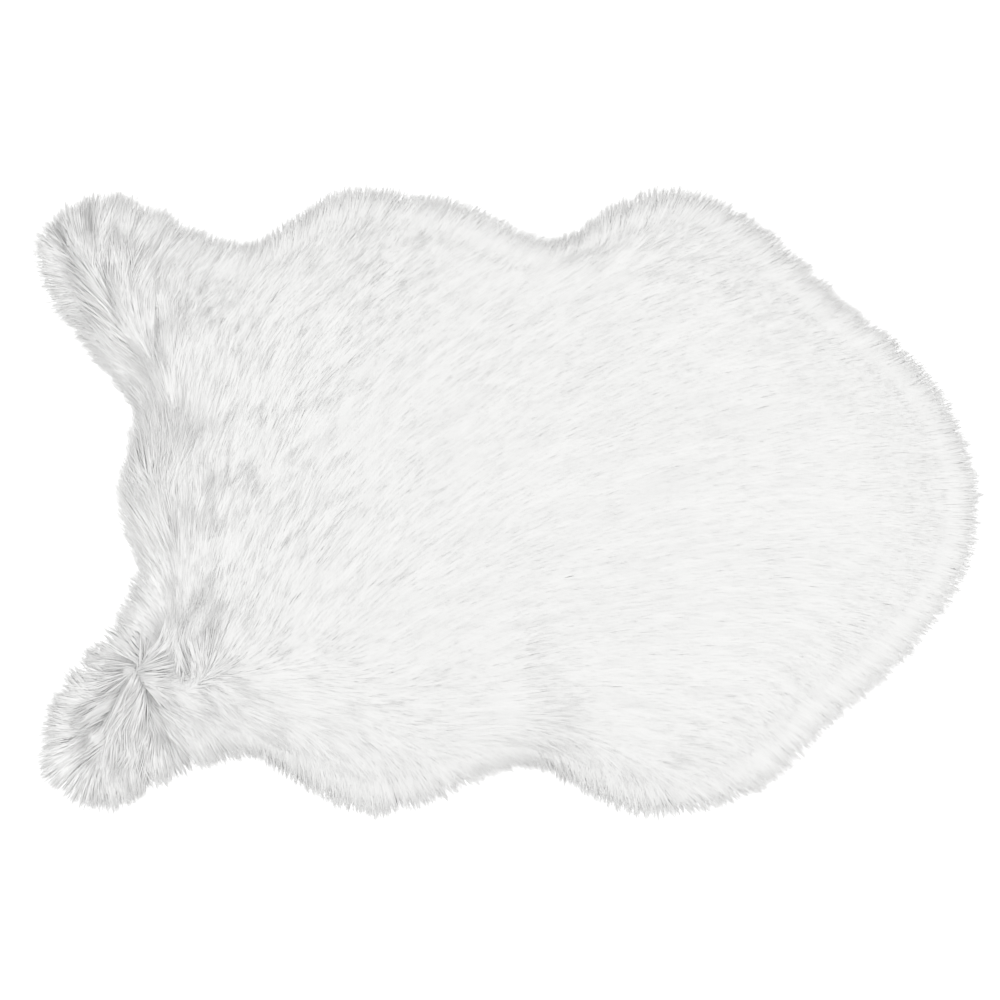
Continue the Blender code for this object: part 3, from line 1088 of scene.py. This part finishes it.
def underfur_material(pile):
    """Short modacrylic fibre, left dense and uncombed by the cutting of the long one.

    The eye gets fine soft streaks along the lie between the locks, a little greyer than the pile,
    which is painted shade down among the strands.
    """
    material, tree, shader = new_material("short_modacrylic_underfur")
    lie = add_node(tree, "ShaderNodeUVMap", {}, uv_map="lie")
    drawn = add_node(
        tree,
        "ShaderNodeMapping",
        {"Vector": lie.outputs["UV"], "Scale": (1 / STREAK_LENGTH, 1 / STREAK_WIDTH, 1.0)},
    )
    streaks = add_node(
        tree,
        "ShaderNodeTexNoise",
        {"Vector": drawn.outputs["Vector"], "Scale": 1.0, "Detail": 2.0},
    )
    # the streaks are a random pattern along the lie; the grey of their darker colour against the pile is
    # painted shade
    shade = add_node(
        tree,
        "ShaderNodeMix",
        {"Factor": streaks.outputs["Fac"], "A": pile.underfur_dark_painted_shade, "B": pile.underfur_light},
        data_type="RGBA",
    )
    bump = add_node(
        tree, "ShaderNodeBump", {"Height": streaks.outputs["Fac"], "Distance": 0.35 * MM}
    )
    tree.links.new(shade.outputs["Result"], shader.inputs["Base Color"])
    tree.links.new(bump.outputs["Normal"], shader.inputs["Normal"])
    shader.inputs["Roughness"].default_value = 0.8
    return material


class RUG_OT_underfur(bpy.types.Operator):
    """Fill the pile with its dense underfur"""

    bl_idname = "rug.underfur"
    bl_label = "Fill the underfur"

    def execute(self, context):
        mesh = underfur_mesh(cut_line())
        add_piece(context.scene, mesh, underfur_material(context.scene.rug_pile))
        return {"FINISHED"}


# ---------------------------------------------------------------- the ground cloth

RIB_SPACING = 2.5 * MM  # from one rib of the knitting to the next
RIB_SCALE = 2 * math.pi / (20 * RIB_SPACING)  # the wave texture has 20 radians to a unit


def knit_material(cloth):
    """Polyester yarn, knitted into a ground cloth and brushed on its back.

    The eye gets a matt off-white without shine, with fine soft ribs that waver a little.
    """
    material, tree, shader = new_material("knitted_polyester_ground")
    place = add_node(tree, "ShaderNodeTexCoord", {})
    ribs = add_node(
        tree,
        "ShaderNodeTexWave",
        {"Vector": place.outputs["Object"], "Scale": RIB_SCALE, "Distortion": 1.5},
        bands_direction="Y",
    )
    bump = add_node(
        tree, "ShaderNodeBump", {"Height": ribs.outputs["Fac"], "Distance": 0.3 * MM}
    )
    tree.links.new(bump.outputs["Normal"], shader.inputs["Normal"])
    shader.inputs["Base Color"].default_value = cloth.colour
    shader.inputs["Roughness"].default_value = 0.9
    return material


def cloth_mesh(thickness):
    """The cut of the cloth given its thickness, and the area of the cut."""
    bm = underside()
    area = sum(face.calc_area() for face in bm.faces)
    bmesh.ops.recalc_face_normals(bm, faces=bm.faces)
    if sum(face.normal.z for face in bm.faces) > 0:
        bmesh.ops.reverse_faces(bm, faces=bm.faces)
    top = bmesh.ops.extrude_face_region(bm, geom=bm.faces[:])
    raised = [item for item in top["geom"] if isinstance(item, bmesh.types.BMVert)]
    bmesh.ops.translate(bm, verts=raised, vec=(0, 0, thickness))
    bmesh.ops.recalc_face_normals(bm, faces=bm.faces)
    mesh = bpy.data.meshes.new("ground_cloth")
    bm.to_mesh(mesh)
    bm.free()
    return mesh, area


class RUG_OT_cloth(bpy.types.Operator):
    """Lay the knitted ground cloth that the pile grows from"""

    bl_idname = "rug.cloth"
    bl_label = "Lay the ground cloth"

    def execute(self, context):
        cloth = context.scene.rug_cloth
        mesh, area = cloth_mesh(cloth.thickness)
        piece = add_piece(context.scene, mesh, knit_material(cloth))
        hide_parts("pile_fabric")
        return {"FINISHED"}


# ---------------------------------------------------------------- the studio

FLOOR_REACH = 30.0  # from the middle of the floor to its edges, far enough for a low view
FLOOR_DROP = 0.2 * MM  # the floor lies this far under the rug, so that their faces don't meet
FLOOR_GLOW = 0.8  # strength of the floor's own light
SKY_GLOW = 0.65  # and of the sky's
SENSOR = 36  # width of the camera's sensor in millimetres
CAMERA_PLACE = (-3 * MM, 3 * MM)  # the rug lies this far off the middle of the view
FIELD_HEIGHT = 20 * MM  # the field is measured this high, in the pile
FAR = 100.0  # nothing farther than this is drawn

# Soft boxes: a broad key high over the round end, and low fills along the legs and the left side.
LIGHTS = (
    # name, place, what it is aimed at, size, watts
    ("key", (1.1, -0.7, 1.8), (0.0, 0.0, 0.0), (1.4, 1.4), 15.2),
    ("fill_legs", (-1.20, -0.1, 0.4), (-0.4, -0.1, 0.0), (1.2, 0.25), 4.4),
    ("fill_side", (0.2, 1.15, 0.4), (0.2, 0.25, 0.0), (1.4, 0.25), 2.3),
)


def opal_material():
    """Cast opal acrylic with a matt face, lit from behind, as in a light table.

    The eye gets an even pure white, on which the rug leaves next to no shadow.
    """
    material, _, shader = new_material("backlit_opal_acrylic")
    shader.inputs["Base Color"].default_value = linear("FAFAFA")
    shader.inputs["Roughness"].default_value = 0.9
    shader.inputs["Emission Color"].default_value = linear("FFFFFF")
    shader.inputs["Emission Strength"].default_value = FLOOR_GLOW
    return material


def lay_floor(scene):
    """A plain floor under the rug and all round it."""
    bm = bmesh.new()
    bmesh.ops.create_grid(bm, x_segments=1, y_segments=1, size=FLOOR_REACH)
    bmesh.ops.translate(bm, verts=bm.verts, vec=(0, 0, -FLOOR_DROP))
    mesh = bpy.data.meshes.new("floor")
    bm.to_mesh(mesh)
    bm.free()
    mesh.materials.append(opal_material())
    floor = bpy.data.objects.new("floor", mesh)
    scene.collection.objects.link(floor)


def light_up(scene):
    """An even white sky and the soft boxes."""
    world = bpy.data.worlds.new("studio")
    world.use_nodes = True
    background = world.node_tree.nodes["Background"]
    background.inputs["Color"].default_value = (1, 1, 1, 1)
    background.inputs["Strength"].default_value = SKY_GLOW
    scene.world = world
    for name, place, aim, size, watts in LIGHTS:
        lamp = bpy.data.lights.new(name, "AREA")
        lamp.shape = "RECTANGLE"
        lamp.size, lamp.size_y = size
        lamp.energy = watts
        light = bpy.data.objects.new(name, lamp)
        light.location = place
        towards = Vector(aim) - Vector(place)
        light.rotation_euler = towards.to_track_quat("-Z", "Y").to_euler()
        scene.collection.objects.link(light)


def hang_camera(scene, lens, field):
    """A camera straight above the rug, looking down."""
    camera_data = bpy.data.cameras.new("camera")
    camera_data.lens = lens
    camera_data.sensor_width = SENSOR
    camera_data.clip_end = FAR
    camera = bpy.data.objects.new("camera", camera_data)
    camera.location = (*CAMERA_PLACE, field * lens / SENSOR + FIELD_HEIGHT)
    scene.collection.objects.link(camera)
    scene.camera = camera
    scene.view_settings.view_transform = "Standard"


class RUG_OT_studio(bpy.types.Operator):
    """Set up the floor, the lights and the camera"""

    bl_idname = "rug.studio"
    bl_label = "Set up the studio"

    def execute(self, context):
        scene = context.scene
        lay_floor(scene)
        light_up(scene)
        hang_camera(scene, scene.rug_studio.lens, scene.rug_studio.field)
        return {"FINISHED"}


# ---------------------------------------------------------------- the add-on

GROUPS = {"rug_pile": RugPile, "rug_cloth": RugCloth, "rug_studio": RugStudio}
OPERATORS = (RUG_OT_pile, RUG_OT_underfur, RUG_OT_cloth, RUG_OT_studio)


class RUG_PT_panel(bpy.types.Panel):
    """Lists the rug's sizes, colours and steps in the sidebar"""

    bl_idname = "RUG_PT_panel"
    bl_label = "Shag rug"
    bl_space_type = "VIEW_3D"
    bl_region_type = "UI"
    bl_category = "Rug"

    def draw(self, context):
        for group_name, group in GROUPS.items():
            box = self.layout.box()
            for setting in group.__annotations__:
                box.prop(getattr(context.scene, group_name), setting)
        for step in OPERATORS:
            self.layout.operator(step.bl_idname)


CLASSES = (*GROUPS.values(), *OPERATORS, RUG_PT_panel)


def register():
    for item in CLASSES:
        bpy.utils.register_class(item)
    for group_name, group in GROUPS.items():
        setattr(bpy.types.Scene, group_name, PointerProperty(type=group))


def unregister():
    for group_name in GROUPS:
        delattr(bpy.types.Scene, group_name)
    for item in reversed(CLASSES):
        bpy.utils.unregister_class(item)


def main():
    register()
    bpy.ops.rug.pile()
    bpy.ops.rug.underfur()
    bpy.ops.rug.cloth()
    bpy.ops.rug.studio()


if __name__ == "__main__":
    main()
